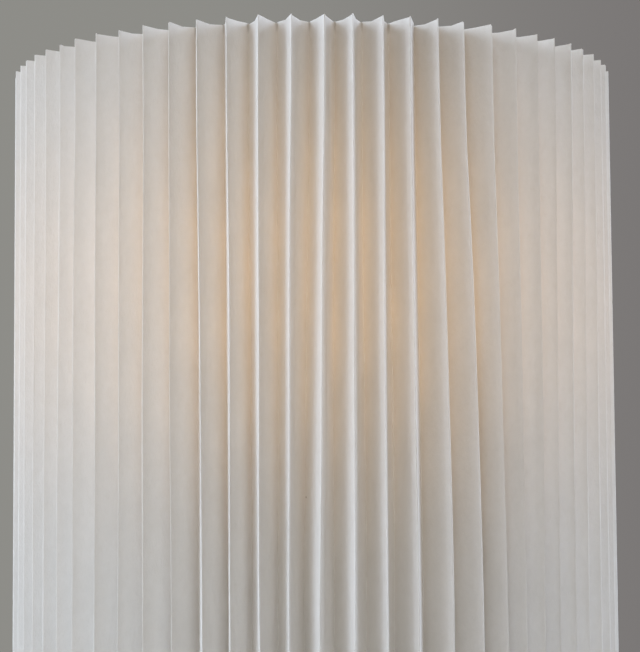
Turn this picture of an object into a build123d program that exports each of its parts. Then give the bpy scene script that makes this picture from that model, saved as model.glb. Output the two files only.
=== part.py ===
from build123d import *

# Pleated paper table lamp, in millimetres, +Z up. The origin is on the table, under the lamp's centre.
# A weighted steel base carries a tube stem and a lampholder with a screw-in lamp bulb. The paper
# shade is glued round a wire cage, which drops over the stem and stands loosely on the base.
# +Y is the back, where the supply cord's inlet bush is.

import os
from math import atan2, cos, radians, sin, sqrt

# ---------------------------------------------------------------- sizes that are set by themselves

# pleated paper
shade_radius = 100.0  # to the outer folds
shade_height = 330.0
pleat_count = 70
pleat_depth = 9.5  # outer fold to inner fold, along the radius
paper_thickness = 0.4
lap_start = 0.35  # reach of the glued lap over its panel, as shares of the panel's width
lap_end = 0.9

# wire cage
ring_wire_radius = 1.5
strut_wire_radius = 1.25
cage_clearance = 0.3  # ring to the inner folds
top_ring_inset = 12.0  # ring's centre below the paper's upper edge
bottom_ring_inset = 3.8  # ring's centre above the paper's lower edge
strut_count = 3
post_angle = -15.0  # first post, from +X
spoke_angle = 45.0  # first spoke, from +X
locating_clearance = 1.5  # inner ring to the raised centre of the base
seat_clearance = 0.3  # cage's wire above the base's top

# base
base_radius = 75.0
base_wall = 1.5
base_corner = 3.0
land_radius = 33.0  # raised centre that locates the shade
land_height = 4.0
land_corner = 2.0
ballast_thickness = 6.0
ballast_flange = 2.0  # the edge that shows under the cover's skirt
skirt_fit = 0.3
foot_height = 3.0
foot_radius = 7.0
foot_inset = 15.0  # foot's centre from the base's edge
foot_count = 4

# pillars inside the cover, and the screws that hold the ballast plate to them
pillar_count = 3
pillar_inset = 15.0
pillar_radius = 4.5
screw_radius = 2.0
screw_clearance = 0.05
screw_head_radius = 4.0
screw_reach = 6.0  # length inside the pillar
screw_end_gap = 1.0
driver_slot_width = 1.2
driver_slot_depth = 1.0

# cord inlet bush
bush_bore_radius = 3.6
bush_barrel_radius = 4.8
bush_fit = 0.05
bush_clearance = 0.6  # above the ballast plate, and below the cover's corner
bush_flange_width = 1.4  # beyond the barrel
bush_flange_thickness = 2.0
bush_tail = 5.0  # barrel inside the skirt
bush_snap = 0.6  # height of the collar that snaps behind the skirt

# threaded rod that clamps base, stem and lampholder together
rod_radius = 5.0
rod_bore_radius = 3.75
rod_clearance = 0.2
rod_tail = 1.5  # rod below the nut
nut_across_flats = 14.0
nut_thickness = 3.0
washer_radius = 10.0
washer_thickness = 1.0

# stem
stem_length = 134.0
stem_radius = 8.0
stem_wall = 1.2
stem_fit = 0.1
collar_radius = 14.0
collar_height = 7.0
collar_lip = 2.4  # wall round the tube at the collar's rim
socket_depth = 4.0

# terminal block in the base, and the lead from it to the lampholder
block_length = 20.0
block_width = 15.0
block_height = 9.0
block_distance = 30.0  # block's centre behind the rod
terminal_pitch = 8.0
terminal_radius = 2.3
terminal_bore_radius = 1.6
terminal_setback = 1.0
terminal_fit = 0.1
terminal_screw_radius = 1.3
lead_radius = 2.0
lead_clearance = 0.5  # above the ballast plate

# screw cap of the lamp bulb
cap_radius = 13.1
cap_wall = 0.35
cap_height = 19.5
insulator_height = 4.5
insulator_radius = 11.2
tip_radius = 4.5
tip_height = 1.5

# lampholder
thread_clearance = 0.3  # holder's sleeve to the bulb's cap
sleeve_wall = 0.5
sleeve_gap = 0.5  # holder's sleeve to the bulb's neck
holder_fit = 0.1
holder_wall = 1.8
neck_radius = 10.0
rod_reach = 10.0  # rod inside the holder's cap
holder_cap_height = 22.0
cap_rim_height = 5.0  # straight rim that the shell screws into
holder_shell_height = 36.0
shell_rim_height = 3.0
shell_rim_width = 0.8
insert_thickness = 9.0
insert_lift = 4.0  # insert's top above the holder's cap
tongue_width = 6.0
tongue_thickness = 0.6
tongue_span = 9.0
contact_height = 3.0  # bulb's contact above the insert
contact_gap = 0.3

# bulb above its cap
neck_fit = 0.4  # bulb's neck to the shell's mouth
globe_radius = 30.0
globe_wall = 1.2
globe_centre_height = 80.0  # above the bulb's contact
globe_rim_drop = 15.0  # globe's rim below its centre
plug_length = 6.0  # body's spigot inside the cap
plug_fit = 0.1
board_radius = 20.0
board_thickness = 1.6
board_fit = 0.3
board_depth = 6.0  # board's seat below the globe's rim
chip_count = 12
chip_circle_radius = 14.0
chip_width = 2.8
chip_height = 0.7

# ---------------------------------------------------------------- levels and radii that follow

ballast_bottom = foot_height
ballast_top = ballast_bottom + ballast_thickness
skirt_bottom = ballast_bottom + ballast_flange
skirt_radius = base_radius - base_wall  # inner face
bush_level = ballast_top + bush_clearance + bush_barrel_radius + bush_snap
cover_ceiling = bush_level + bush_barrel_radius + bush_snap + bush_clearance + base_corner - base_wall
base_height = cover_ceiling + base_wall
land_top = base_height + land_height
land_ceiling = land_top - base_wall

cage_level = base_height + seat_clearance + ring_wire_radius
shade_bottom = cage_level - bottom_ring_inset
shade_top = shade_bottom + shade_height
top_ring_level = shade_top - top_ring_inset

washer_bottom = land_ceiling - washer_thickness
nut_bottom = washer_bottom - nut_thickness
rod_bottom = nut_bottom - rod_tail
stem_bottom = land_top + collar_height - socket_depth
stem_top = stem_bottom + stem_length
holder_bottom = stem_top + collar_height - socket_depth
rod_top = holder_bottom + rod_reach

shell_bottom = holder_bottom + holder_cap_height
shell_top = shell_bottom + holder_shell_height
insert_top = shell_bottom + insert_lift
insert_bottom = insert_top - insert_thickness
sleeve_bore_radius = cap_radius + thread_clearance
sleeve_radius = sleeve_bore_radius + sleeve_wall
shell_bore_radius = sleeve_radius + holder_fit
insert_radius = shell_bore_radius + holder_wall
spigot_radius = insert_radius + holder_fit + holder_wall
holder_radius = spigot_radius + holder_fit + holder_wall

tip_bottom = insert_top + contact_height
insulator_bottom = tip_bottom + tip_height
cap_bottom = insulator_bottom + insulator_height
cap_top = cap_bottom + cap_height
globe_level = tip_bottom + globe_centre_height
globe_rim = globe_level - globe_rim_drop
globe_rim_radius = sqrt(globe_radius**2 - globe_rim_drop**2)
board_bottom = globe_rim - board_depth

# ---------------------------------------------------------------- the pleated paper shade

half_pitch = 180.0 / pleat_count
inner_fold_radius = shade_radius - pleat_depth
fold_run = inner_fold_radius * sin(radians(half_pitch))
fold_rise = shade_radius - inner_fold_radius * cos(radians(half_pitch))
outer_fold_angle = atan2(fold_run, fold_rise)  # between panel and radius
inner_fold_angle = outer_fold_angle + radians(half_pitch)


def pleat_corners(depth):
    """Corners of the zigzag that lies a depth below the paper's outer face, one for each fold."""
    outer = shade_radius - depth / sin(outer_fold_angle)
    inner = inner_fold_radius - depth / sin(inner_fold_angle)
    corners = []
    for pleat in range(pleat_count):
        turn = radians(90 + half_pitch * (2 * pleat + 1))
        corners.append((outer * cos(turn), outer * sin(turn)))
        turn += radians(half_pitch)
        corners.append((inner * cos(turn), inner * sin(turn)))
    return corners


def on_lap(share, depth):
    """A point on the panel at the back, from its outer fold towards its inner fold."""
    outer, inner = pleat_corners(depth)[0:2]
    return tuple(a + (b - a) * share for a, b in zip(outer, inner))


with BuildPart() as pleated_shade:
    with BuildSketch(Plane.XY.offset(shade_bottom)):
        with BuildLine():
            Polyline(*pleat_corners(0), close=True)
        make_face()
        with BuildLine():
            Polyline(*pleat_corners(paper_thickness), close=True)
        make_face(mode=Mode.SUBTRACT)
        # the sheet's last panel is glued over its first, inside the shade
        with BuildLine():
            Polyline(
                on_lap(lap_start, paper_thickness / 2),
                on_lap(lap_end, paper_thickness / 2),
                on_lap(lap_end, paper_thickness * 2),
                on_lap(lap_start, paper_thickness * 2),
                close=True,
            )
        make_face()
    extrude(amount=shade_height)

os.makedirs("parts", exist_ok=True)
pleated_shade.part.label = "pleated_shade"
export_step(pleated_shade.part, "parts/pleated_shade.step")

# ---------------------------------------------------------------- the wire cage inside the shade

paper_bore_radius = inner_fold_radius - paper_thickness / sin(inner_fold_angle)
cage_radius = paper_bore_radius - cage_clearance - ring_wire_radius
locating_radius = land_radius + locating_clearance + ring_wire_radius

with BuildPart() as top_ring:
    with Locations((0, 0, top_ring_level)):
        Torus(cage_radius, ring_wire_radius)
top_ring.part.label = "top_ring"
export_step(top_ring.part, "parts/top_ring.step")

with BuildPart() as bottom_ring:
    with Locations((0, 0, cage_level)):
        Torus(cage_radius, ring_wire_radius)
bottom_ring.part.label = "bottom_ring"
export_step(bottom_ring.part, "parts/bottom_ring.step")

with BuildPart() as locating_ring:
    with Locations((0, 0, cage_level)):
        Torus(locating_radius, ring_wire_radius)
locating_ring.part.label = "locating_ring"
export_step(locating_ring.part, "parts/locating_ring.step")

# posts and spokes are cut square and butt-welded to the crown of the ring's wire
with BuildPart() as cage_posts:
    with BuildSketch(Plane.XY.offset(cage_level + ring_wire_radius)):
        with PolarLocations(cage_radius, strut_count, start_angle=post_angle):
            Circle(strut_wire_radius)
    extrude(amount=top_ring_level - cage_level - 2 * ring_wire_radius)
cage_posts.part.label = "cage_posts"
export_step(cage_posts.part, "parts/cage_posts.step")

with BuildPart() as cage_spokes:
    with Locations((0, 0, cage_level)):
        with PolarLocations(locating_radius + ring_wire_radius, strut_count, start_angle=spoke_angle):
            Cylinder(
                strut_wire_radius,
                cage_radius - locating_radius - 2 * ring_wire_radius,
                rotation=(0, 90, 0),
                align=(Align.CENTER, Align.CENTER, Align.MIN),
            )
cage_spokes.part.label = "cage_spokes"
export_step(cage_spokes.part, "parts/cage_spokes.step")

# ---------------------------------------------------------------- the weighted base

bush_hole_radius = bush_barrel_radius + bush_fit
screw_hole_radius = screw_radius + screw_clearance
screw_head_height = screw_head_radius - screw_radius
pillar_circle = base_radius - pillar_inset
foot_circle = base_radius - foot_inset

with BuildPart() as base_cover:
    with BuildSketch(Plane.XZ) as cover_section:
        with BuildLine():
            Polyline(
                (rod_radius + rod_clearance, land_ceiling),
                (rod_radius + rod_clearance, land_top),
                (land_radius, land_top),
                (land_radius, base_height),
                (base_radius, base_height),
                (base_radius, skirt_bottom),
                (skirt_radius, skirt_bottom),
                (skirt_radius, cover_ceiling),
                (land_radius - base_wall, cover_ceiling),
                (land_radius - base_wall, land_ceiling),
                close=True,
            )
        make_face()
        for corner, radius in (
            ((base_radius, base_height), base_corner),
            ((skirt_radius, cover_ceiling), base_corner - base_wall),
            ((land_radius, land_top), land_corner),
        ):
            fillet(cover_section.vertices().sort_by_distance(corner)[0], radius)
    revolve(axis=Axis.Z)
    with BuildSketch(Plane.XZ.offset(-base_radius)):
        with Locations((0, bush_level)):
            Circle(bush_hole_radius)
    extrude(amount=base_wall + base_corner, mode=Mode.SUBTRACT)
base_cover.part.label = "base_cover"
export_step(base_cover.part, "parts/base_cover.step")

with BuildPart() as ballast_plate:
    with BuildSketch(Plane.XY.offset(ballast_bottom)):
        Circle(base_radius)
    extrude(amount=ballast_flange)
    with BuildSketch(Plane.XY.offset(skirt_bottom)):
        Circle(skirt_radius - skirt_fit)
    extrude(amount=ballast_thickness - ballast_flange)
    chamfer(ballast_plate.faces().sort_by(Axis.Z)[0].edges(), ballast_flange / 4)
    with BuildSketch(Plane.XY.offset(ballast_bottom)):
        with PolarLocations(pillar_circle, pillar_count):
            Circle(screw_head_radius + screw_clearance)
    extrude(amount=screw_head_height, taper=45, mode=Mode.SUBTRACT)
    with BuildSketch(Plane.XY.offset(ballast_bottom)):
        with PolarLocations(pillar_circle, pillar_count):
            Circle(screw_hole_radius)
    extrude(amount=ballast_thickness, mode=Mode.SUBTRACT)
ballast_plate.part.label = "ballast_plate"
export_step(ballast_plate.part, "parts/ballast_plate.step")

with BuildPart() as cover_pillars:
    with BuildSketch(Plane.XY.offset(ballast_top)):
        with PolarLocations(pillar_circle, pillar_count):
            Circle(pillar_radius)
    extrude(amount=cover_ceiling - ballast_top)
    with BuildSketch(Plane.XY.offset(ballast_top)):
        with PolarLocations(pillar_circle, pillar_count):
            Circle(screw_hole_radius)
    extrude(amount=screw_reach + screw_end_gap, mode=Mode.SUBTRACT)
cover_pillars.part.label = "cover_pillars"
export_step(cover_pillars.part, "parts/cover_pillars.step")

with BuildPart() as cover_screws:
    with BuildSketch(Plane.XY.offset(ballast_bottom)):
        with PolarLocations(pillar_circle, pillar_count):
            Circle(screw_head_radius)
    extrude(amount=screw_head_height, taper=45)
    with BuildSketch(Plane.XY.offset(ballast_bottom)):
        with PolarLocations(pillar_circle, pillar_count):
            Circle(screw_radius)
    extrude(amount=ballast_thickness + screw_reach)
    with BuildSketch(Plane.XY.offset(ballast_bottom)):
        with PolarLocations(pillar_circle, pillar_count):
            Rectangle(screw_head_radius * 2, driver_slot_width)
    extrude(amount=driver_slot_depth, mode=Mode.SUBTRACT)
cover_screws.part.label = "cover_screws"
export_step(cover_screws.part, "parts/cover_screws.step")

with BuildPart() as rubber_feet:
    with BuildSketch(Plane.XY):
        with PolarLocations(foot_circle, foot_count, start_angle=180.0 / foot_count):
            Circle(foot_radius)
    extrude(amount=foot_height)
    chamfer(rubber_feet.edges().group_by(Axis.Z)[0], foot_height / 4)
rubber_feet.part.label = "rubber_feet"
export_step(rubber_feet.part, "parts/rubber_feet.step")

# ---------------------------------------------------------------- the cord's inlet bush

flange_radius = bush_barrel_radius + bush_flange_width
flange_top = base_radius + bush_flange_thickness  # the flange bears on the crown of the round skirt
snap_radius = bush_barrel_radius + bush_snap
snap_seat = sqrt(skirt_radius**2 - snap_radius**2) - bush_fit
barrel_end = skirt_radius - bush_tail

with BuildPart() as cord_bush:
    with BuildSketch(Plane.YZ):
        with BuildLine():
            Polyline(
                (barrel_end, bush_level + bush_bore_radius),
                (flange_top, bush_level + bush_bore_radius),
                (flange_top, bush_level + flange_radius - bush_snap),
                (flange_top - bush_snap, bush_level + flange_radius),
                (base_radius, bush_level + flange_radius),
                (base_radius, bush_level + bush_barrel_radius),
                (snap_seat, bush_level + bush_barrel_radius),
                (snap_seat, bush_level + snap_radius),
                (barrel_end, bush_level + bush_barrel_radius - bush_snap),
                close=True,
            )
        make_face()
    revolve(axis=Axis((0, 0, bush_level), (0, 1, 0)))
cord_bush.part.label = "cord_bush"
export_step(cord_bush.part, "parts/cord_bush.step")

# ---------------------------------------------------------------- the rod that clamps it together

with BuildPart() as threaded_rod:
    with BuildSketch(Plane.XY.offset(rod_bottom)):
        Circle(rod_radius)
        Circle(rod_bore_radius, mode=Mode.SUBTRACT)
    extrude(amount=rod_top - rod_bottom)
threaded_rod.part.label = "threaded_rod"
export_step(threaded_rod.part, "parts/threaded_rod.step")

with BuildPart() as rod_washer:
    with BuildSketch(Plane.XY.offset(washer_bottom)):
        Circle(washer_radius)
        Circle(rod_radius + rod_clearance, mode=Mode.SUBTRACT)
    extrude(amount=washer_thickness)
rod_washer.part.label = "rod_washer"
export_step(rod_washer.part, "parts/rod_washer.step")

with BuildPart() as rod_nut:
    with BuildSketch(Plane.XY.offset(nut_bottom)):
        RegularPolygon(nut_across_flats / 2, 6, major_radius=False)
        Circle(rod_radius + screw_clearance, mode=Mode.SUBTRACT)
    extrude(amount=nut_thickness)
rod_nut.part.label = "rod_nut"
export_step(rod_nut.part, "parts/rod_nut.step")

# ---------------------------------------------------------------- the stem


def collar_outline():
    """Half section of a turned collar, standing on its seat. Its rim holds the tube's end."""
    return Polyline(
        (rod_radius + rod_clearance, 0),
        (collar_radius, 0),
        (collar_radius, collar_height / 3),
        (stem_radius + collar_lip, collar_height),
        (stem_radius + stem_fit, collar_height),
        (stem_radius + stem_fit, collar_height - socket_depth),
        (rod_radius + rod_clearance, collar_height - socket_depth),
        close=True,
    )


with BuildPart() as stem_foot:
    with BuildSketch(Plane(origin=(0, 0, land_top), x_dir=(1, 0, 0), z_dir=(0, -1, 0))):
        with BuildLine():
            collar_outline()
        make_face()
    revolve(axis=Axis.Z)
stem_foot.part.label = "stem_foot"
export_step(stem_foot.part, "parts/stem_foot.step")

with BuildPart() as stem_tube:
    with BuildSketch(Plane.XY.offset(stem_bottom)):
        Circle(stem_radius)
        Circle(stem_radius - stem_wall, mode=Mode.SUBTRACT)
    extrude(amount=stem_length)
stem_tube.part.label = "stem_tube"
export_step(stem_tube.part, "parts/stem_tube.step")

with BuildPart() as stem_head:
    with BuildSketch(Plane(origin=(0, 0, holder_bottom), x_dir=(1, 0, 0), z_dir=(0, 1, 0))):
        with BuildLine():
            collar_outline()
        make_face()
    revolve(axis=Axis.Z)
stem_head.part.label = "stem_head"
export_step(stem_head.part, "parts/stem_head.step")

# ---------------------------------------------------------------- the terminal block and the lead

block_front = block_distance - block_width / 2
terminal_level = ballast_top + lead_clearance + lead_radius
lead_bend = rod_bottom - terminal_level

with BuildPart() as terminal_block:
    with BuildSketch(Plane.XY.offset(ballast_top)):
        with Locations((0, block_distance)):
            Rectangle(block_length, block_width)
    extrude(amount=block_height)
    with BuildSketch(Plane.XZ.offset(-block_front)):
        with Locations((0, terminal_level)):
            with GridLocations(terminal_pitch, 0, 2, 1):
                Circle(terminal_radius + terminal_fit)
    extrude(amount=-block_width, mode=Mode.SUBTRACT)
    with BuildSketch(Plane.XY.offset(terminal_level)):
        with Locations((0, block_distance)):
            with GridLocations(terminal_pitch, block_width / 2, 2, 2):
                Circle(terminal_screw_radius + terminal_fit)
    extrude(amount=block_height, mode=Mode.SUBTRACT)
terminal_block.part.label = "terminal_block"
export_step(terminal_block.part, "parts/terminal_block.step")

with BuildPart() as terminal_barrels:
    with BuildSketch(Plane.XZ.offset(-block_front - terminal_setback)):
        with Locations((0, terminal_level)):
            with GridLocations(terminal_pitch, 0, 2, 1):
                Circle(terminal_radius)
                Circle(terminal_bore_radius, mode=Mode.SUBTRACT)
    extrude(amount=2 * terminal_setback - block_width)
terminal_barrels.part.label = "terminal_barrels"
export_step(terminal_barrels.part, "parts/terminal_barrels.step")

with BuildPart() as terminal_screws:
    with BuildSketch(Plane.XY.offset(terminal_level + terminal_radius)):
        with Locations((0, block_distance)):
            with GridLocations(terminal_pitch, block_width / 2, 2, 2):
                Circle(terminal_screw_radius)
    extrude(amount=terminal_radius)
terminal_screws.part.label = "terminal_screws"
export_step(terminal_screws.part, "parts/terminal_screws.step")

with BuildPart() as inner_lead:
    with BuildLine():
        FilletPolyline(
            (0, block_front, terminal_level),
            (0, 0, terminal_level),
            (0, 0, insert_bottom),
            radius=lead_bend,
        )
    with BuildSketch(Plane.XZ.offset(-block_front)):
        with Locations((0, terminal_level)):
            Circle(lead_radius)
    sweep()
inner_lead.part.label = "inner_lead"
export_step(inner_lead.part, "parts/inner_lead.step")

# ---------------------------------------------------------------- the lampholder

# the cap's dome is a quarter round from its neck to its rim, hollow by the same wall
dome_radius = holder_radius - neck_radius
dome_bottom = shell_bottom - cap_rim_height - dome_radius
dome_floor = dome_bottom + holder_wall

with BuildPart() as lampholder_cap:
    with BuildSketch(Plane.XZ):
        with BuildLine():
            outside = JernArc((neck_radius, dome_bottom), (1, 0), dome_radius, 90)
            inside = JernArc((neck_radius, dome_floor), (1, 0), dome_radius - holder_wall, 90)
            Polyline(
                outside @ 1,
                (holder_radius, shell_bottom),
                (holder_radius - holder_wall, shell_bottom),
                inside @ 1,
            )
            Polyline(
                inside @ 0,
                (rod_radius + screw_clearance, dome_floor),
                (rod_radius + screw_clearance, holder_bottom),
                (neck_radius, holder_bottom),
                outside @ 0,
            )
        make_face()
    revolve(axis=Axis.Z)
lampholder_cap.part.label = "lampholder_cap"
export_step(lampholder_cap.part, "parts/lampholder_cap.step")

with BuildPart() as lampholder_shell:
    with BuildSketch(Plane.XZ):
        with BuildLine():
            Polyline(
                (insert_radius + holder_fit, shell_bottom - cap_rim_height),
                (spigot_radius, shell_bottom - cap_rim_height),
                (spigot_radius, shell_bottom),
                (holder_radius, shell_bottom),
                (holder_radius, shell_top - shell_rim_height),
                (holder_radius + shell_rim_width, shell_top - shell_rim_height),
                (holder_radius + shell_rim_width, shell_top),
                (shell_bore_radius, shell_top),
                (shell_bore_radius, insert_top),
                (insert_radius + holder_fit, insert_top),
                close=True,
            )
        make_face()
    revolve(axis=Axis.Z)
lampholder_shell.part.label = "lampholder_shell"
export_step(lampholder_shell.part, "parts/lampholder_shell.step")

with BuildPart() as lampholder_insert:
    with BuildSketch(Plane.XY.offset(insert_bottom)):
        Circle(insert_radius)
    extrude(amount=insert_thickness)
lampholder_insert.part.label = "lampholder_insert"
export_step(lampholder_insert.part, "parts/lampholder_insert.step")

with BuildPart() as screw_sleeve:
    with BuildSketch(Plane.XY.offset(insert_top)):
        Circle(sleeve_radius)
        Circle(sleeve_bore_radius, mode=Mode.SUBTRACT)
    extrude(amount=cap_top - sleeve_gap - insert_top)
screw_sleeve.part.label = "screw_sleeve"
export_step(screw_sleeve.part, "parts/screw_sleeve.step")

# a sprung tongue, bent up from the insert to just under the bulb's contact
tongue_foot = insert_top + tongue_thickness / 2
tongue_tip = tip_bottom - contact_gap - tongue_thickness / 2

with BuildPart() as centre_contact:
    with BuildSketch(Plane.XZ):
        with BuildLine():
            Polyline(
                (-tongue_span, tongue_foot),
                (-tongue_span / 2, tongue_foot),
                (-tongue_span / 4, tongue_tip),
                (tongue_span / 4, tongue_tip),
            )
        trace(line_width=tongue_thickness)
    extrude(amount=tongue_width / 2, both=True)
centre_contact.part.label = "centre_contact"
export_step(centre_contact.part, "parts/centre_contact.step")

# ---------------------------------------------------------------- the lamp bulb

bulb_neck_radius = shell_bore_radius - neck_fit
plug_radius = cap_radius - cap_wall - plug_fit
plug_bottom = cap_top - plug_length

with BuildPart() as bulb_contact:
    with BuildSketch(Plane.XY.offset(insulator_bottom)):
        Circle(tip_radius)
    extrude(amount=-tip_height, taper=30)
bulb_contact.part.label = "bulb_contact"
export_step(bulb_contact.part, "parts/bulb_contact.step")

with BuildPart() as bulb_insulator:
    with BuildSketch(Plane.XY.offset(insulator_bottom)):
        Circle(tip_radius)
    with BuildSketch(Plane.XY.offset(cap_bottom)):
        Circle(insulator_radius)
    loft()
bulb_insulator.part.label = "bulb_insulator"
export_step(bulb_insulator.part, "parts/bulb_insulator.step")

with BuildPart() as bulb_cap:
    with BuildSketch(Plane.XZ):
        with BuildLine():
            Polyline(
                (0, cap_bottom),
                (insulator_radius, cap_bottom),
                (cap_radius, cap_bottom + cap_radius - insulator_radius),
                (cap_radius, cap_top),
                (cap_radius - cap_wall, cap_top),
                (cap_radius - cap_wall, plug_bottom),
                (0, plug_bottom),
                close=True,
            )
        make_face()
    revolve(axis=Axis.Z)
bulb_cap.part.label = "bulb_cap"
export_step(bulb_cap.part, "parts/bulb_cap.step")

# the body's flank leaves the holder upright and runs smoothly into the globe
with BuildPart() as bulb_body:
    with BuildSketch(Plane.XZ):
        with BuildLine():
            Spline(
                (bulb_neck_radius, shell_top),
                (globe_rim_radius, globe_rim),
                tangents=((0, 1), (globe_rim_drop, globe_rim_radius)),
            )
            Polyline(
                (globe_rim_radius, globe_rim),
                (board_radius + board_fit, globe_rim),
                (board_radius + board_fit, board_bottom),
                (0, board_bottom),
                (0, plug_bottom),
                (plug_radius, plug_bottom),
                (plug_radius, cap_top),
                (bulb_neck_radius, cap_top),
                (bulb_neck_radius, shell_top),
            )
        make_face()
    revolve(axis=Axis.Z)
bulb_body.part.label = "bulb_body"
export_step(bulb_body.part, "parts/bulb_body.step")

with BuildPart() as led_board:
    with BuildSketch(Plane.XY.offset(board_bottom)):
        Circle(board_radius)
    extrude(amount=board_thickness)
led_board.part.label = "led_board"
export_step(led_board.part, "parts/led_board.step")

with BuildPart() as led_chips:
    with BuildSketch(Plane.XY.offset(board_bottom + board_thickness)):
        with PolarLocations(chip_circle_radius, chip_count):
            Rectangle(chip_width, chip_width)
    extrude(amount=chip_height)
led_chips.part.label = "led_chips"
export_step(led_chips.part, "parts/led_chips.step")

with BuildPart() as bulb_dome:
    with Locations((0, 0, globe_level)):
        Sphere(globe_radius)
        Sphere(globe_radius - globe_wall, mode=Mode.SUBTRACT)
    split(bisect_by=Plane.XY.offset(globe_rim), keep=Keep.TOP)
bulb_dome.part.label = "bulb_dome"
export_step(bulb_dome.part, "parts/bulb_dome.step")

print("paper laid flat, mm:", round(2 * pleat_count * sqrt(fold_run**2 + fold_rise**2), 1), shade_height)
print("lead's bend radius, mm:", lead_bend)
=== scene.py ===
import random
from math import atan2, cos, degrees, exp, hypot, pi, radians, sin

import bmesh
import bpy
from mathutils import Matrix, Vector


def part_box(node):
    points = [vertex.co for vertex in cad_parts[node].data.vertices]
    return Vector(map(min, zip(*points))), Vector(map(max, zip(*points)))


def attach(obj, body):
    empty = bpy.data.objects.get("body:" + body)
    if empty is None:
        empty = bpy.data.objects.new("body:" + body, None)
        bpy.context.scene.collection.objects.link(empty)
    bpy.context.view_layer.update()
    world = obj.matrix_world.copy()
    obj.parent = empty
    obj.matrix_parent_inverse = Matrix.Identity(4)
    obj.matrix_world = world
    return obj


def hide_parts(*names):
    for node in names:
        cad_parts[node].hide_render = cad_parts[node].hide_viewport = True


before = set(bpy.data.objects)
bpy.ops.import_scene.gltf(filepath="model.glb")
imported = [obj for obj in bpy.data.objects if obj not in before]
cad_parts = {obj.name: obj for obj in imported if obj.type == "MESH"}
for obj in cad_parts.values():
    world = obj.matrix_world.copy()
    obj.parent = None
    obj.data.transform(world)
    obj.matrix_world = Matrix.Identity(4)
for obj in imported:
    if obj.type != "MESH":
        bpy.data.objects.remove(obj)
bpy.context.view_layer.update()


# ---------------------------------------------------------------- base cover
# The cover is a shallow pan drawn from 1.5 mm steel sheet, with a raised land that the shade's
# inner ring drops over. It is powder-coated satin white, which leaves a fine orange peel.


class Socket:
    """A value in a material. Arithmetic on it adds Math nodes, and add() adds any other node."""

    def __init__(self, tree, output=None):
        self.tree, self.output = tree, output

    def add(self, kind, sockets=None, output=0, **settings):
        node = self.tree.nodes.new("ShaderNode" + kind)
        for setting, value in settings.items():
            setattr(node, setting, value)
        for name, value in (sockets or {}).items():
            if isinstance(value, Socket):
                self.tree.links.new(value.output, node.inputs[name])
            else:
                node.inputs[name].default_value = value
        return Socket(self.tree, node.outputs[output] if node.outputs else None)

    def also(self, output):
        return Socket(self.tree, self.output.node.outputs[output])

    def __add__(self, other):
        return self.add("Math", {0: self, 1: other}, operation="ADD")

    def __sub__(self, other):
        return self.add("Math", {0: self, 1: other}, operation="SUBTRACT")

    def __rsub__(self, other):
        return self.add("Math", {0: other, 1: self}, operation="SUBTRACT")

    def __mul__(self, other):
        return self.add("Math", {0: self, 1: other}, operation="MULTIPLY")

    def __truediv__(self, other):
        return self.add("Math", {0: self, 1: other}, operation="DIVIDE")

    def __pow__(self, other):
        return self.add("Math", {0: self, 1: other}, operation="POWER")

    def __gt__(self, other):
        return self.add("Math", {0: self, 1: other}, operation="GREATER_THAN")

    __radd__, __rmul__ = __add__, __mul__


def new_finish(name):
    """A new material, and the place on the object, in metres, that its patterns follow."""
    material = bpy.data.materials.new(name)
    material.use_nodes = True
    material.node_tree.nodes.clear()
    return material, Socket(material.node_tree).add("TexCoord", output="Object")


def grain(place, size, detail=2.0):
    """Soft noise from 0 to 1, with blotches about this many millimetres across."""
    return place.add("TexNoise", {"Vector": place, "Scale": 1000 / size, "Detail": detail})


def stretched(place, x, y, z):
    """The place on the object, drawn out along the axes whose numbers are small."""
    return place.add("Mapping", {"Vector": place, "Scale": (x, y, z)})


def between(share, one, other):
    """A colour that goes from one, which may be a colour in the material, to the other."""
    start = one if isinstance(one, Socket) else (*one, 1.0)
    return share.add("Mix", {0: share, 6: start, 7: (*other, 1.0)}, 2, data_type="RGBA")


def relief(height, depth):
    """The normal of a surface whose height, from 0 to 1, is this many millimetres."""
    return height.add("Bump", {"Height": height, "Strength": 1.0, "Distance": depth / 1000})


def close_finish(place, sockets):
    """Ends a material with its shader."""
    shader = place.add("BsdfPrincipled", sockets)
    place.add("OutputMaterial", {"Surface": shader})


def dress(material, *nodes):
    """Gives CAD nodes this material."""
    for node in nodes:
        for material_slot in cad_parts[node].material_slots:
            material_slot.material = material


powder_coat, place = new_finish("powder coat, satin white")
peel = grain(place, 1.1)
drift = grain(place, 35.0)
close_finish(
    place,
    {
        "Base Color": between(drift, (0.80, 0.80, 0.775), (0.84, 0.84, 0.825)),
        "Roughness": peel * 0.14 + 0.34,
        "Normal": relief(peel + grain(place, 0.4) * 0.3, 0.03),
    },
)
dress(powder_coat, "base_cover")


# ---------------------------------------------------------------- ballast plate
# The ballast is a 6 mm steel plate, flame-cut and turned on its edge, which closes the cover
# from below and keeps the tall shade from tipping. It has a coat of dark primer.


def within_one(value):
    """The value, held between 0 and 1."""
    return value.add("Clamp", {"Value": value})


primer, place = new_finish("ballast primer")
scale_marks = grain(place, 6.0, 5.0)
bare = within_one((grain(place, 2.2, 4.0) - 0.68) * 9.0)  # spots where the primer has chipped off
close_finish(
    place,
    {
        "Base Color": between(bare, (0.15, 0.15, 0.16), (0.27, 0.265, 0.26)),
        "Roughness": scale_marks * 0.25 + 0.55,
        "Normal": relief(scale_marks + grain(place, 0.8) * 0.4, 0.08),
    },
)
dress(primer, "ballast_plate")


# ---------------------------------------------------------------- pillars and screws
# Three turned steel pillars are spot-welded under the cover, and countersunk slotted screws
# pull the ballast plate up against them. Both are bright zinc, a little clouded.

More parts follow.
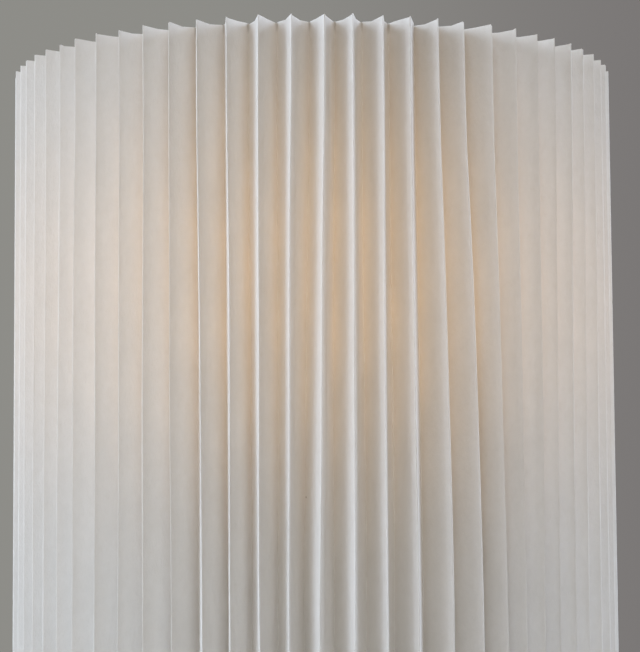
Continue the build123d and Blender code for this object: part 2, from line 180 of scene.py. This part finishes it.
zinc, place = new_finish("bright zinc")
cloud = grain(place, 2.5, 4.0)
turning = grain(stretched(place, 0.05, 0.05, 1.0), 0.12)
close_finish(
    place,
    {
        "Base Color": between(cloud, (0.60, 0.61, 0.60), (0.70, 0.69, 0.64)),
        "Metallic": 1.0,
        "Roughness": cloud * 0.2 + turning * 0.15 + 0.2,
        "Normal": relief(turning, 0.012),
    },
)
dress(zinc, "cover_pillars", "cover_screws", "terminal_screws")


# ---------------------------------------------------------------- rubber feet
# Four soft black rubber pads are punched from sheet and stuck under the ballast plate, so that
# the lamp grips the table. Their cut edges are greyed by dust.

rubber, place = new_finish("foot rubber")
dust = grain(place, 3.0, 4.0)
close_finish(
    place,
    {
        "Base Color": between(dust, (0.045, 0.045, 0.045), (0.085, 0.083, 0.08)),
        "Roughness": dust * 0.15 + 0.72,
        "Specular IOR Level": 0.3,
        "Normal": relief(grain(place, 0.25), 0.05),
    },
)
dress(rubber, "rubber_feet")


# ---------------------------------------------------------------- cord bush
# A black nylon bush snaps into the hole at the back of the cover and keeps the sheet's edge off
# the supply cord. It has the fine spark-eroded grain of its mould.

black_nylon, place = new_finish("black nylon")
spark_grain = grain(place, 0.18)
close_finish(
    place,
    {
        "Base Color": between(grain(place, 4.0), (0.04, 0.04, 0.042), (0.06, 0.06, 0.06)),
        "Roughness": spark_grain * 0.2 + 0.42,
        "Normal": relief(spark_grain, 0.03),
    },
)
dress(black_nylon, "cord_bush")


# ---------------------------------------------------------------- threaded rod, nut and washer
# A hollow M10 rod runs from the base to the lampholder and pulls the whole stand together. It,
# its nut and its washer are zinc-plated steel, and its fine thread has a pitch of 1 mm.

plate, place = new_finish("zinc-plated steel")
cloud = grain(place, 3.0, 4.0)
scratch = grain(stretched(place, 1.0, 1.0, 0.08), 0.2)
close_finish(
    place,
    {
        "Base Color": between(cloud, (0.54, 0.55, 0.56), (0.64, 0.63, 0.60)),
        "Metallic": 1.0,
        "Roughness": cloud * 0.2 + 0.25,
        "Normal": relief(scratch, 0.01),
    },
)
dress(plate, "rod_nut", "rod_washer")


def coordinates(place):
    """The x, y and z of a place or of a direction."""
    x = place.add("SeparateXYZ", {"Vector": place})
    return x, x.also("Y"), x.also("Z")


rod_pitch = 0.001
rod_thread, place = new_finish("zinc-plated thread")
x, y, z = coordinates(place)
turned = y.add("Math", {0: y, 1: x}, operation="ARCTAN2") / (2 * pi)
climbed = z * (1 / rod_pitch) - turned
flank = climbed.add("Math", {0: climbed, 1: 0.5}, operation="PINGPONG")
close_finish(
    place,
    {
        "Base Color": between(grain(place, 2.0), (0.50, 0.51, 0.52), (0.62, 0.61, 0.58)),
        "Metallic": 1.0,
        "Roughness": flank * -0.3 + 0.45,
        "Normal": relief(flank * 2, 0.5),
    },
)
dress(rod_thread, "threaded_rod")


# ---------------------------------------------------------------- stem
# The stem is a 16 mm steel tube between two turned collars, all powder-coated like the base.
# It carries nothing but the lampholder, and the rod inside it takes the load.

dress(powder_coat, "stem_foot", "stem_tube", "stem_head")


# ---------------------------------------------------------------- terminal block and lead
# A two-pole block of natural nylon with brass barrels joins the supply cord to the lamp's own
# lead, a round white sheathed cable that turns up into the hollow rod.

natural_nylon, place = new_finish("natural nylon")
flow = grain(stretched(place, 0.3, 1.0, 1.0), 3.0)
close_finish(
    place,
    {
        "Base Color": between(flow, (0.76, 0.76, 0.70), (0.81, 0.81, 0.77)),
        "Roughness": grain(place, 0.3) * 0.15 + 0.35,
        "Normal": relief(flow, 0.04),
    },
)
dress(natural_nylon, "terminal_block")

brass, place = new_finish("terminal brass")
tarnish = grain(place, 1.8, 4.0)
close_finish(
    place,
    {
        "Base Color": between(tarnish, (0.62, 0.46, 0.20), (0.86, 0.70, 0.36)),
        "Metallic": 1.0,
        "Roughness": tarnish * -0.2 + 0.42,
        "Normal": relief(grain(stretched(place, 1.0, 0.06, 1.0), 0.15), 0.01),
    },
)
dress(brass, "terminal_barrels", "centre_contact")

sheath, place = new_finish("lead sheath")
twist = grain(place, 5.0)
close_finish(
    place,
    {
        "Base Color": between(twist, (0.77, 0.77, 0.74), (0.82, 0.82, 0.80)),
        "Roughness": twist * 0.15 + 0.36,
        "Normal": relief(twist + grain(place, 0.5) * 0.2, 0.12),
    },
)
dress(sheath, "inner_lead")


# ---------------------------------------------------------------- lampholder
# The holder is moulded from white thermoset in two halves: a domed cap on the rod and a shell
# screwed into it. A ceramic insert inside carries the sleeve and the sprung contact.

def hump(value, middle, spread):
    """A smooth hump of height 1 at the middle."""
    off = (value - middle) / spread
    return off.add("Math", {0: off * off * -1}, operation="EXPONENT")


thermoset, place = new_finish("holder moulding")
flow = grain(stretched(place, 1.0, 1.0, 0.4), 6.0, 4.0)
z = coordinates(place)[2]
parting = hump(z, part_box("lampholder_cap")[1].z, 0.00018)  # the fine dark gap between cap and shell
moulded_white = between(flow, (0.77, 0.77, 0.74), (0.82, 0.82, 0.80))
close_finish(
    place,
    {
        "Base Color": between(parting * 0.8, moulded_white, (0.12, 0.12, 0.11)),
        "Roughness": flow * 0.14 + 0.26,
        "Normal": relief(grain(place, 0.7) * 0.1 - parting, 0.2),
    },
)
dress(thermoset, "lampholder_cap", "lampholder_shell")

ceramic, place = new_finish("holder ceramic")
pits = grain(place, 0.6, 5.0)
close_finish(
    place,
    {
        "Base Color": between(grain(place, 5.0, 4.0), (0.80, 0.79, 0.74), (0.87, 0.86, 0.83)),
        "Roughness": pits * 0.3 + 0.4,
        "Normal": relief(pits, 0.08),
    },
)
dress(ceramic, "lampholder_insert")

# the sleeve is pressed from thin brass strip, with a rolled thread for the bulb
thread_pitch = 0.00363


def threaded_tube(root, crest, low, high):
    """An open tube with a round thread, cut off flat at both ends."""
    tube = bmesh.new()
    wave_steps, turn_steps, spare_turns = 8, 32, 2
    wave = []
    for step in range(wave_steps + 1):
        swell = 0.5 - 0.5 * cos(2 * pi * step / wave_steps)
        level = low - spare_turns * thread_pitch + thread_pitch * step / wave_steps
        wave.append(tube.verts.new((root + (crest - root) * swell, 0, level)))
    profile = [tube.edges.new(pair) for pair in zip(wave, wave[1:])]
    turns = int((high - low) / thread_pitch) + 2 * spare_turns
    bmesh.ops.spin(
        tube,
        geom=wave + profile,
        axis=(0, 0, 1),
        dvec=(0, 0, thread_pitch / turn_steps),
        angle=2 * pi * turns,
        steps=turn_steps * turns,
    )
    bmesh.ops.remove_doubles(tube, verts=tube.verts, dist=1e-6)
    for level, outward in ((low, (0, 0, -1)), (high, (0, 0, 1))):
        bmesh.ops.bisect_plane(
            tube,
            geom=[*tube.verts, *tube.edges, *tube.faces],
            plane_co=(0, 0, level),
            plane_no=outward,
            dist=1e-7,
            clear_outer=True,
        )
    bmesh.ops.recalc_face_normals(tube, faces=tube.faces)
    return tube


def rim_at(tube, level):
    """The open rim of a tube at this height."""
    return [
        edge
        for edge in tube.edges
        if edge.is_boundary and all(abs(vert.co.z - level) < 1e-5 for vert in edge.verts)
    ]


def grow(tube, rim, radius, level):
    """Extrudes a rim to a true circle of this radius at this height, and returns the new rim."""
    grown = bmesh.ops.extrude_edge_only(tube, edges=rim)["geom"]
    for vert in grown:
        if isinstance(vert, bmesh.types.BMVert):
            scale = radius / hypot(vert.co.x, vert.co.y)
            vert.co = (vert.co.x * scale, vert.co.y * scale, level)
    return [edge for edge in grown if isinstance(edge, bmesh.types.BMEdge)]


def put_in_scene(name, data):
    """A new object that shows a mesh, or holds a lamp or the camera."""
    made = bpy.data.objects.new(name, data)
    bpy.context.scene.collection.objects.link(made)
    return made


def mesh_from(name, shape, material):
    """Turns a bmesh into a mesh of this material."""
    mesh = bpy.data.meshes.new(name)
    shape.to_mesh(mesh)
    shape.free()
    mesh.materials.append(material)
    return mesh


def piece(name, shape, body, material):
    """Turns a bmesh into a smooth-shaded piece of the lamp that rides on a body."""
    mesh = mesh_from(name, shape, material)
    mesh.shade_smooth()
    mesh.set_sharp_from_angle(angle=radians(50))
    made = put_in_scene(name, mesh)
    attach(made, body)
    return made


sleeve_root, sleeve_crest, sleeve_foot = 0.01316, 0.01362, 0.01345
sleeve_plain_end, sleeve_wall = 0.002, 0.0003
sleeve_low, sleeve_high = (corner.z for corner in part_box("screw_sleeve"))
thread_low, thread_high = sleeve_low + sleeve_plain_end, sleeve_high - sleeve_plain_end
sleeve = threaded_tube(sleeve_root, sleeve_crest, thread_low, thread_high)
grow(sleeve, rim_at(sleeve, thread_low), sleeve_foot, sleeve_low)
grow(sleeve, rim_at(sleeve, thread_high), sleeve_crest, sleeve_high)
bmesh.ops.recalc_face_normals(sleeve, faces=sleeve.faces)
bmesh.ops.solidify(sleeve, geom=sleeve.faces[:], thickness=-sleeve_wall)
threaded_sleeve = piece("threaded_sleeve", sleeve, "stand", brass)
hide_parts("screw_sleeve")


# ---------------------------------------------------------------- bulb
# The bulb has an aluminium screw cap with a rolled thread, a glossy white moulded body, and an
# opal dome over a board of yellow chips. The dome is the warm light inside the shade, and the
# glow on the shade's outside is painted on the paper.

solder, place = new_finish("contact solder")
dull = grain(place, 1.5, 4.0)
close_finish(
    place,
    {
        "Base Color": between(dull, (0.55, 0.55, 0.55), (0.74, 0.74, 0.72)),
        "Metallic": 1.0,
        "Roughness": dull * 0.3 + 0.3,
        "Normal": relief(dull, 0.08),
    },
)
dress(solder, "bulb_contact")

insulator, place = new_finish("cap insulator")
close_finish(
    place,
    {
        "Base Color": between(grain(place, 2.0), (0.025, 0.025, 0.03), (0.05, 0.05, 0.055)),
        "Roughness": grain(place, 0.4) * 0.15 + 0.2,
        "Normal": relief(grain(place, 1.5), 0.03),
    },
)
dress(insulator, "bulb_insulator")

cap_metal, place = new_finish("cap aluminium")
rolled = grain(stretched(place, 1.0, 1.0, 8.0), 1.5, 3.0)
close_finish(
    place,
    {
        "Base Color": between(grain(place, 4.0, 3.0), (0.68, 0.68, 0.67), (0.78, 0.78, 0.76)),
        "Metallic": 1.0,
        "Roughness": rolled * 0.2 + 0.2,
        "Normal": relief(rolled, 0.01),
    },
)
cap_low, cap_high = (corner.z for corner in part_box("bulb_cap"))
cap_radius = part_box("bulb_cap")[1].x
shoulder_radius, nose_radius = cap_radius - 0.0002, cap_radius - 0.0019
collar_bore, collar_depth = cap_radius - 0.00035, 0.006
thread_low, thread_high = cap_low + 0.0025, cap_high - 0.0035
cap = threaded_tube(cap_radius - 0.0008, cap_radius, thread_low, thread_high)
rim = rim_at(cap, thread_low)
for radius, level in ((shoulder_radius, cap_low + 0.0017), (nose_radius, cap_low)):
    rim = grow(cap, rim, radius, level)
bmesh.ops.contextual_create(cap, geom=rim)
rim = rim_at(cap, thread_high)
for radius, level in (
    (cap_radius, cap_high - 0.0028),
    (cap_radius, cap_high),
    (collar_bore, cap_high),
    (collar_bore, cap_high - collar_depth),
):
    rim = grow(cap, rim, radius, level)
bmesh.ops.contextual_create(cap, geom=rim)
bmesh.ops.recalc_face_normals(cap, faces=cap.faces)
threaded_cap = piece("threaded_cap", cap, "bulb", cap_metal)
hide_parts("bulb_cap")

gloss, place = new_finish("bulb moulding")
close_finish(
    place,
    {
        "Base Color": between(grain(place, 8.0), (0.80, 0.80, 0.79), (0.84, 0.84, 0.83)),
        "Roughness": grain(place, 1.0) * 0.1 + 0.16,
        "Normal": relief(grain(place, 2.5), 0.02),
    },
)
dress(gloss, "bulb_body")

board_lacquer, place = new_finish("board lacquer")
tracks = grain(stretched(place, 1.0, 1.0, 0.1), 5.0) > 0.52
close_finish(
    place,
    {
        "Base Color": between(tracks, (0.80, 0.80, 0.78), (0.86, 0.86, 0.85)),
        "Roughness": grain(place, 0.5) * 0.1 + 0.3,
        "Normal": relief(tracks, 0.03),
    },
)
dress(board_lacquer, "led_board")

phosphor, place = new_finish("chip phosphor")
powder = grain(place, 0.2, 3.0)
close_finish(
    place,
    {
        "Base Color": between(powder, (0.82, 0.60, 0.14), (0.92, 0.74, 0.26)),
        "Roughness": powder * 0.2 + 0.4,
        "Emission Color": between(powder, (1.0, 0.78, 0.46), (1.0, 0.82, 0.52)),
        "Emission Strength": 0.5,
    },
)
dress(phosphor, "led_chips")

dome_low, dome_high = (corner.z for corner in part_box("bulb_dome"))
opal, place = new_finish("opal dome, lit")
z = coordinates(place)[2]
crown = z.add("MapRange", {0: z, 1: dome_low, 2: dome_high, 3: 0.0, 4: 1.0})
close_finish(
    place,
    {
        "Base Color": between(grain(place, 10.0), (0.84, 0.82, 0.78), (0.88, 0.86, 0.82)),
        "Roughness": grain(place, 0.8) * 0.1 + 0.3,
        "Emission Color": between(crown, (0.80, 0.56, 0.34), (0.80, 0.62, 0.42)),
        "Emission Strength": 0.6,
        "Normal": relief(grain(place, 0.8), 0.01),
    },
)
dress(opal, "bulb_dome")


# ---------------------------------------------------------------- wire cage
# The shade hangs on a cage of white enamelled wire: an upper and a lower ring on three posts,
# and an inner ring on three spokes. Every joint is a resistance weld, which leaves a small bead.

enamel, place = new_finish("white enamel")
sag = grain(place, 2.5)
close_finish(
    place,
    {
        "Base Color": between(sag, (0.79, 0.79, 0.77), (0.84, 0.84, 0.82)),
        "Roughness": sag * 0.2 + 0.25,
        "Normal": relief(sag, 0.05),
    },
)
dress(enamel, "top_ring", "bottom_ring", "locating_ring", "cage_posts", "cage_spokes")

wire_radius, weld_radius = 0.0015, 0.0017
weld_offset = 0.0014  # from the centre of a ring's wire to the centre of the bead on it
ring_low, ring_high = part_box("bottom_ring")
bottom_ring_level = (ring_low.z + ring_high.z) / 2
cage_radius = ring_high.x - wire_radius
top_ring_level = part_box("top_ring")[0].z + wire_radius
inner_ring_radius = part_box("locating_ring")[1].x - wire_radius

first_post, first_spoke = -15, 45  # degrees
weld_places = []
for third in range(3):
    post = radians(first_post + 120 * third)
    spoke = radians(first_spoke + 120 * third)
    weld_places += [
        (cage_radius, post, bottom_ring_level + weld_offset),
        (cage_radius, post, top_ring_level - weld_offset),
        (cage_radius - weld_offset, spoke, bottom_ring_level),
        (inner_ring_radius + weld_offset, spoke, bottom_ring_level),
    ]
beads = bmesh.new()
for radius, angle, level in weld_places:
    at = Matrix.Translation((radius * cos(angle), radius * sin(angle), level))
    bmesh.ops.create_icosphere(beads, subdivisions=2, radius=weld_radius, matrix=at)
piece("weld_beads", beads, "shade", enamel)


# ---------------------------------------------------------------- pleated shade
# The shade is one sheet of stiff white paper with a scored fold at every ridge and valley, 140 in
# all. It is closed by a glued lap at the back, and its inner folds are glued to the two rings.

rim_low, rim_high = (corner.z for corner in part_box("pleated_shade"))
shade_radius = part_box("pleated_shade")[1].x
sheet_height = rim_high - rim_low
pleat_count = 70
pleat = 2 * pi / pleat_count
ridge_radius = shade_radius + 0.0005  # where two panels would meet, before their fold is rounded
valley_radius = shade_radius - 0.0096
paper_thickness = 0.0004
random.seed(7)


def around(radius, angle):
    """A point at this radius and angle, level with the lower rim."""
    return Vector((radius * cos(angle), radius * sin(angle), rim_low))


# one pleat's two panels, each in two strips so that it can bow a little, then the ring of seventy
first_ridge = pi / 2 + pleat / 2
ridge = around(ridge_radius, first_ridge)
valley_before = around(valley_radius, first_ridge - pleat / 2)
valley_after = around(valley_radius, first_ridge + pleat / 2)
sheet = bmesh.new()
corners = [
    sheet.verts.new(corner)
    for corner in (
        valley_before,
        valley_before.lerp(ridge, 0.5),
        ridge,
        ridge.lerp(valley_after, 0.5),
        valley_after,
    )
]
folded = [sheet.edges.new(pair) for pair in zip(corners, corners[1:])]
bmesh.ops.spin(
    sheet,
    geom=corners + folded,
    axis=(0, 0, 1),
    angle=pleat * (pleat_count - 1),
    steps=pleat_count - 1,
    use_duplicate=True,
)
bmesh.ops.remove_doubles(sheet, verts=sheet.verts, dist=1e-5)

# no two folds are quite alike
fold_wander, radius_wander = 0.00022, 0.0012
for vert in sheet.verts:
    nudge = Matrix.Rotation(random.gauss(0, fold_wander) / valley_radius, 3, "Z")
    vert.co = (nudge @ vert.co) * (1 + random.gauss(0, radius_wander))


def raise_from(edges):
    """Draws the paper up from these edges to the upper rim."""
    risen = bmesh.ops.extrude_edge_only(sheet, edges=edges)["geom"]
    bmesh.ops.translate(
        sheet,
        verts=[part for part in risen if isinstance(part, bmesh.types.BMVert)],
        vec=(0, 0, sheet_height),
    )


def round_folds(radius, width, steps):
    """Rounds the upright folds that stand near this radius."""
    folds = []
    for edge in sheet.edges:
        one, other = (vert.co for vert in edge.verts)
        if abs(one.z - other.z) > sheet_height / 2 and abs(one.xy.length - radius) < 0.0025:
            folds.append(edge)
    bmesh.ops.bevel(
        sheet,
        geom=folds,
        offset=width,
        affect="EDGES",
        segments=steps,
        profile=0.5,
        material=-1,
    )


raise_from(sheet.edges[:])
round_folds(ridge_radius, 0.0007, 4)
round_folds(valley_radius, 0.0006, 3)

# the lap is a second layer inside the panel at the back, from its ridge side to its valley side
lap_start = ridge.lerp(valley_after, 0.35)
lap_end = ridge.lerp(valley_after, 0.9)
inward = (lap_end - lap_start).cross(Vector((0, 0, 1))).normalized()
inward *= -1 if inward.dot(lap_start) > 0 else 1
lap = [sheet.verts.new(end + inward * paper_thickness * 1.05) for end in (lap_start, lap_end)]
raise_from([sheet.edges.new(lap)])

# rows across the paper let the folds wander between the two rims
row_count = 18
for row in range(1, row_count):
    bmesh.ops.bisect_plane(
        sheet,
        geom=[*sheet.verts, *sheet.edges, *sheet.faces],
        plane_co=(0, 0, rim_low + sheet_height * row / row_count),
        plane_no=(0, 0, 1),
        dist=1e-6,
    )

# where the folds were glued a little aside: the place and its spread in degrees from the front,
# and the shift in millimetres at the upper rim and half-way down
drifts = (
    (1, 5, 1.6, -0.8),
    (29, 8, -0.9, 3.1),
    (57, 10, 0.4, -1.8),
    (-18, 7, 0.0, 0.9),
    (-48, 15, -1.0, -1.6),
    (110, 14, 0.8, -1.2),
    (160, 12, -0.7, 1.0),
    (-105, 16, 0.9, 1.4),
    (-150, 10, 0.3, -1.1),
)
dip_radius, dip_spread, dip_depth = shade_radius - 0.0047, 0.0015, 0.00032
for vert in sheet.verts:
    angle = degrees(atan2(vert.co.x, -vert.co.y))
    height = (vert.co.z - rim_low) / sheet_height
    shift = 0.0
    for middle, spread, at_rim, at_half in drifts:
        share = exp(-((((angle - middle + 180) % 360 - 180) / spread) ** 2))
        belly = sin(pi * min(height / 0.9, 1.0))
        shift += share * (at_rim * max(0.0, height - 0.5) * 2 + at_half * belly)
    waver = 0.12 * sin(angle * 0.9 + height * 9) + 0.08 * sin(angle * 2.3 - height * 17)
    vert.co = Matrix.Rotation((shift + waver) / 1000 / valley_radius, 3, "Z") @ vert.co
    if height > 0.999:  # the cut rim, which is a little uneven and dips along each panel
        dip = exp(-(((vert.co.xy.length - dip_radius) / dip_spread) ** 2))
        vert.co.z += 0.00016 * sin(angle * 5.7) + random.gauss(0, 0.00011) - dip_depth * dip

# the open sheet's faces are turned outwards before it gets its thickness
turned_in = [face for face in sheet.faces if face.normal.xy.dot(face.calc_center_median().xy) < 0]
bmesh.ops.reverse_faces(sheet, faces=turned_in)
bmesh.ops.solidify(sheet, geom=sheet.faces[:], thickness=paper_thickness)


def ramp(value, low, high):
    """Goes smoothly from 0 to 1 as the value goes from low to high."""
    limits = {0: value, 1: low, 2: high, 3: 0.0, 4: 1.0}
    return value.add("MapRange", limits, interpolation_type="SMOOTHSTEP")


paper_finish, place = new_finish("pleated paper, lit from inside")
x, y, z = coordinates(place)
reach = (x * x + y * y) ** 0.5
cloud = grain(stretched(place, 1.0, 1.0, 0.5), 9.0, 3.0)
mottle = grain(stretched(place, 1.0, 1.0, 0.6), 1.8, 3.0)
fibre = grain(stretched(place, 1.0, 1.0, 0.35), 0.35, 3.0)
paper_white = between(
    cloud * 0.4 + mottle * 0.4 + fibre * 0.2, (0.765, 0.755, 0.735), (0.925, 0.917, 0.905)
)
# painted shade: at the upper rim, where the valleys close up tight, their colour is darkened
# for the shade that falls into them
at_valley = ramp(reach, valley_radius + 0.001, valley_radius + 0.0004)
rim_valley_shade = at_valley * ramp(z, rim_high - 0.0035, rim_high - 0.0005)
paper_with_rim_shade = between(rim_valley_shade * 0.4, paper_white, (0.25, 0.24, 0.22))
# a few dark specks of bark were left in the pulp
nearest = place.add("TexVoronoi", {"Vector": place, "Scale": 40.0}, output="Distance")
specked = between(ramp(nearest, 0.014, 0.008), paper_with_rim_shade, (0.12, 0.09, 0.07))
# painted glow: the paper's emission stands for the bulb's light shining through it,
# strongest at the bulb's own height and in the valleys, which lie nearest to it
glow_level, glow_spread = dome_high - 0.028, 0.059
nearness = ramp(reach, shade_radius, valley_radius + 0.0001) * 0.4 + 0.54
glow = hump(z, glow_level, glow_spread) * nearness * (cloud * 0.5 + 0.75)
close_finish(
    place,
    {
        "Base Color": specked,
        "Roughness": fibre * 0.15 + 0.72,
        "Sheen Weight": 0.4,
        "Sheen Roughness": 0.6,
        "Emission Color": between(glow, (0.0, 0.0, 0.0), (1.0, 0.56, 0.2)),
        "Emission Strength": 0.135,
        "Normal": relief(fibre * 0.5 + mottle, 0.12),
    },
)
shade = piece("pleated_paper", sheet, "shade", paper_finish)
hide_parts("pleated_shade")
evened = shade.modifiers.new("even shading", "WEIGHTED_NORMAL")
evened.keep_sharp = True

# each inner fold is held to both rings by a dab of white glue
glue, place = new_finish("dried glue")
close_finish(
    place,
    {
        "Base Color": between(grain(place, 0.8), (0.78, 0.77, 0.72), (0.84, 0.83, 0.79)),
        "Roughness": grain(place, 0.5) * 0.2 + 0.25,
        "Normal": relief(grain(place, 0.7), 0.05),
    },
)
dab_radius, dab_offset = 0.0011, 0.0013
dabs = bmesh.new()
for fold in range(pleat_count):
    for level in (bottom_ring_level, top_ring_level):
        angle = first_ridge + pleat * (fold + 0.5)
        beside = around(cage_radius + dab_offset, angle)
        at = Matrix.Translation(beside + Vector((0, 0, level - rim_low)))
        turn = Matrix.Rotation(angle, 4, "Z")
        size = Matrix.Diagonal((0.7, 1.0, random.uniform(1.0, 1.4), 1.0))
        bmesh.ops.create_icosphere(dabs, subdivisions=1, radius=dab_radius, matrix=at @ turn @ size)
piece("glue_dabs", dabs, "shade", glue)


# ---------------------------------------------------------------- photographer's floor and light
# The lamp stands on a plain pale floor in a grey surround. Broad soft lights stand for the windows
# at its left and right and for the pale wall before it, and the bulb is lit inside the shade.

floor_finish, place = new_finish("pale floor")
close_finish(
    place,
    {
        "Base Color": between(grain(place, 60.0, 3.0), (0.68, 0.655, 0.60), (0.71, 0.685, 0.63)),
        "Roughness": 0.8,
    },
)
disc = bmesh.new()
bmesh.ops.create_circle(disc, cap_ends=True, radius=0.9, segments=96)
floor = put_in_scene("floor", mesh_from("floor", disc, floor_finish))

# the surround is seen as a wall with painted shade that darkens it to the right, as if lit
# from the left, and it lights the lamp only faintly
world = bpy.data.worlds.new("studio")
bpy.context.scene.world = world
world.use_nodes = True
world.node_tree.nodes.clear()
direction = Socket(world.node_tree).add("TexCoord", output="Generated")
sideways = coordinates(direction)[0]
wall = between(ramp(sideways, -0.1, 0.2), (0.270, 0.267, 0.248), (0.195, 0.184, 0.181))
rays = direction.add("LightPath", output="Is Camera Ray")
seen = within_one(rays + rays.also("Is Glossy Ray") + rays.also("Is Transmission Ray"))
lit = seen.add("Mix", {0: seen, 6: (0.15, 0.125, 0.1, 1.0), 7: wall}, 2, data_type="RGBA")
sky = lit.add("Background", {"Color": lit, "Strength": 1.0})
sky.add("OutputWorld", {"Surface": sky})


def soft_light(name, at, size, power, colour):
    """A square light, this many metres wide and watts strong, that faces the middle of the shade."""
    lamp = bpy.data.lights.new(name, "AREA")
    lamp.size, lamp.energy, lamp.color = size, power, colour
    holder = put_in_scene(name, lamp)
    holder.location = at
    towards_shade = Vector((0, 0, 0.2)) - Vector(at)
    holder.rotation_euler = towards_shade.to_track_quat("-Z", "Y").to_euler()


soft_light("left window", (-2.12, -0.22, 0.77), 2.5, 38, (0.83, 1.0, 1.19))
soft_light("second left window", (-1.8, -1.1, 0.6), 1.6, 11, (0.97, 0.99, 1.08))
soft_light("right window", (2.12, 0.42, 0.77), 1.9, 42, (0.88, 1.0, 1.2))
soft_light("front wall", (0.2, -1.35, 1.35), 1.6, 6.6, (1.04, 1.0, 0.92))

# the bulb's light comes from a point inside the dome, whose wall casts no shadow
dome_lamp = bpy.data.lights.new("bulb light", "POINT")
dome_lamp.energy, dome_lamp.color, dome_lamp.shadow_soft_size = 0.26, (1.0, 0.72, 0.45), 0.02
bulb_light = put_in_scene("bulb light", dome_lamp)
bulb_light.location = (0, 0, dome_high - 0.022)
bulb_light.visible_camera = False
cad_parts["bulb_dome"].visible_shadow = False

# the camera stands 0.6 m from the lamp's axis, below the rim, and looks up a little
camera_distance, camera_level = 0.6, 0.2286
aside, pan, tilt, roll = radians(1.26), radians(-0.21), radians(93.88), radians(-0.38)
camera_data = bpy.data.cameras.new("camera")
camera_data.sensor_width, camera_data.lens = 36.0, 97.84
camera_data.clip_start, camera_data.clip_end = 0.01, 20.0
camera = put_in_scene("camera", camera_data)
camera.matrix_world = (
    Matrix.Translation((camera_distance * sin(aside), -camera_distance * cos(aside), camera_level))
    @ Matrix.Rotation(aside + pan, 4, "Z")
    @ Matrix.Rotation(tilt, 4, "X")
    @ Matrix.Rotation(roll, 4, "Z")
)
bpy.context.scene.camera = camera
bpy.context.scene.view_settings.view_transform = "Standard"
